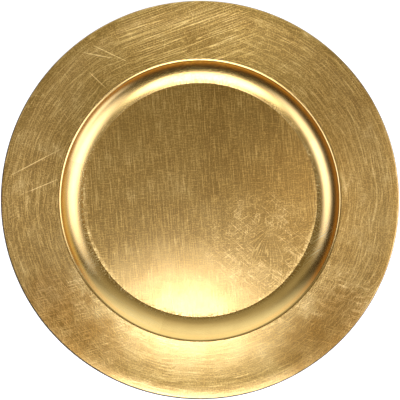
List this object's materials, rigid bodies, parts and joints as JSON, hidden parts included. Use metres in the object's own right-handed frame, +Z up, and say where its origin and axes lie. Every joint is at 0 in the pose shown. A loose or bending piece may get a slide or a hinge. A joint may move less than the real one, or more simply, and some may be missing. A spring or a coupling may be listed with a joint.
{
  "type": "charger plate",
  "caption": "Round gilded charger plate with a flat floor, a curved wall and a broad shallow rim; stands on a foot ring and carries a dinner plate.",
  "frame": {"origin": "centre of the foot ring's standing face, on the table", "axes": "+Z up along the plate's axis; +Y is the top of the picture and +X its right"},
  "size_m": [0.3299, 0.33, 0.0212],
  "materials": {
    "gold_leaf": "satin",
    "bole": "satin",
    "dark_coat": "satin",
    "core_fibre": "matte",
    "foot_wood": "satin"
  },
  "bodies": {
    "root": {"plate_core": "core_fibre", "foot_ring": "foot_wood", "bole_coat": "bole", "underfloor_coat": "dark_coat", "underside_coat": "dark_coat", "floor_leaf_1": "gold_leaf", "floor_leaf_2": "gold_leaf", "floor_leaf_3": "gold_leaf", "floor_leaf_4": "gold_leaf", "wall_leaf_1": "gold_leaf", "wall_leaf_2": "gold_leaf", "wall_leaf_3": "gold_leaf", "wall_leaf_4": "gold_leaf", "wall_leaf_5": "gold_leaf", "wall_leaf_6": "gold_leaf", "wall_leaf_7": "gold_leaf", "wall_leaf_8": "gold_leaf", "rim_leaf_1": "gold_leaf", "rim_leaf_2": "gold_leaf", "rim_leaf_3": "gold_leaf", "rim_leaf_4": "gold_leaf", "rim_leaf_5": "gold_leaf", "rim_leaf_6": "gold_leaf", "rim_leaf_7": "gold_leaf", "rim_leaf_8": "gold_leaf"}
  },
  "joints": []
}
